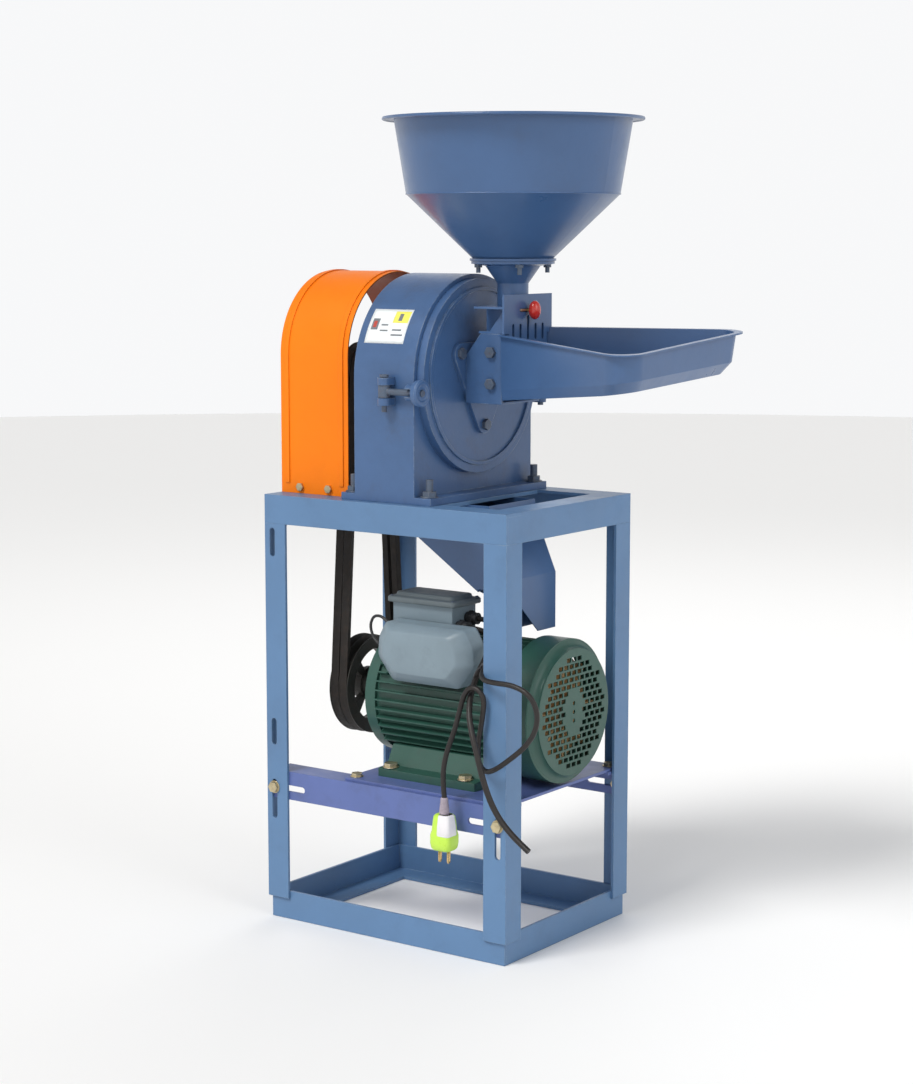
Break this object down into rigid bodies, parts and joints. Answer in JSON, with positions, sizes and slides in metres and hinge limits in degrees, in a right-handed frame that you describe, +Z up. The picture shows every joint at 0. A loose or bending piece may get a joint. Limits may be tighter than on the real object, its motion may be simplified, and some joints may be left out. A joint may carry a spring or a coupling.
{
  "type": "hammer mill",
  "caption": "Belt-driven grain hammer mill on a welded angle-iron stand, with a round feed hopper, a splayed feed tray, a swing-open mill door and an electric motor in the stand below.",
  "frame": {"origin": "centre of the stand's footprint, on the floor", "axes": "+X along the mill shaft towards the door and feed tray, +Y to the back, +Z up"},
  "size_m": [0.591, 0.369, 1.11],
  "materials": {
    "frame_paint": "semi-gloss light blue enamel",
    "rail_paint": "semi-gloss violet-blue enamel",
    "mill_paint": "semi-gloss blue enamel on rough casting and sheet",
    "orange_paint": "semi-gloss orange enamel",
    "motor_paint": "semi-gloss dark green enamel",
    "zinc_steel": "yellow passivated zinc",
    "plain_steel": "plain steel, dulled",
    "bearing_steel": "ground steel",
    "cast_steel": "cast and machined",
    "pulley_iron": "black cast iron",
    "belt_rubber": "matte",
    "grey_plastic": "satin moulded",
    "dark_plastic": "satin moulded",
    "fan_plastic": "satin moulded, tan",
    "cord_jacket": "satin jacket",
    "relief_plastic": "soft moulded",
    "plug_plastic": "gloss moulded",
    "brass": "bright",
    "knob_red": "gloss moulded"
  },
  "bodies": {
    "frame": {"base_frame": "frame_paint", "legs": "frame_paint", "top_frame": "frame_paint", "motor_rails": "rail_paint", "motor_plate": "rail_paint", "rail_bolts": "zinc_steel", "mill_casing": "mill_paint", "bearing_housing": "mill_paint", "shaft_bearings": "bearing_steel", "sieve_ring": "cast_steel", "hinge_lugs": "mill_paint", "pivot_pins": "plain_steel", "clamp_lugs": "mill_paint", "foot_studs": "plain_steel", "belt_guard": "orange_paint", "guard_bolts": "zinc_steel", "belt_inner": "belt_rubber", "belt_outer": "belt_rubber", "discharge_chute": "mill_paint", "motor_body": "motor_paint", "drive_end_bell": "motor_paint", "fan_end_bell": "motor_paint", "motor_bearings": "bearing_steel", "fan_cover": "motor_paint", "motor_feet": "motor_paint", "motor_bolts": "zinc_steel", "terminal_box": "grey_plastic", "terminal_lid": "grey_plastic", "capacitor_cover": "grey_plastic", "capacitor": "dark_plastic", "cord_glands": "dark_plastic", "supply_cord": "cord_jacket", "spare_lead": "cord_jacket", "plug_relief": "relief_plastic", "plug_body": "plug_plastic", "plug_pins": "brass"},
    "mill_rotor": {"mill_shaft": "bearing_steel", "rotor_disc": "cast_steel", "rotor_hammers": "cast_steel", "rotor_nut": "zinc_steel", "mill_pulley": "pulley_iron"},
    "motor_rotor": {"motor_shaft": "bearing_steel", "motor_core": "cast_steel", "motor_fan": "fan_plastic", "motor_pulley": "pulley_iron"},
    "door": {"door": "mill_paint", "fixed_teeth": "cast_steel", "inlet_flange": "mill_paint", "inlet_bolts": "plain_steel", "inlet_duct": "mill_paint", "feed_box": "mill_paint", "feed_tray": "mill_paint", "hopper_neck": "mill_paint", "hopper": "mill_paint", "hopper_bolts": "plain_steel"},
    "feed_gate": {"gate_plate": "zinc_steel", "gate_lever": "zinc_steel", "gate_knob": "knob_red"},
    "swing_clamp": {"swing_bolt": "plain_steel"},
    "clamp_nut": {"hand_nut": "mill_paint"}
  },
  "joints": [
    {"name": "mill_spin", "type": "hinge", "parent": "frame", "child": "mill_rotor", "pos_m": [0, 0, 0.765], "axis": [1, 0, 0], "continuous": true},
    {"name": "motor_spin", "type": "hinge", "parent": "frame", "child": "motor_rotor", "pos_m": [0, 0, 0.318], "axis": [1, 0, 0], "continuous": true},
    {"name": "door_swing", "type": "hinge", "parent": "frame", "child": "door", "pos_m": [0.052, 0.152, 0.762], "axis": [0, 0, 1], "range_deg": [0, 110]},
    {"name": "gate_slide", "type": "slide", "parent": "door", "child": "feed_gate", "axis": [1, 0, 0], "range_m": [0, 0.034]},
    {"name": "clamp_swing", "type": "hinge", "parent": "frame", "child": "swing_clamp", "pos_m": [0.005, -0.15, 0.75], "axis": [0, 0, -1], "range_deg": [0, 150]},
    {"name": "nut_turn", "type": "hinge", "parent": "swing_clamp", "child": "clamp_nut", "pos_m": [0.062, -0.15, 0.75], "axis": [1, 0, 0], "continuous": true}
  ],
  "couplings": [
    {"joint": "mill_spin", "follows": "motor_spin", "ratio": 1.8451}
  ]
}
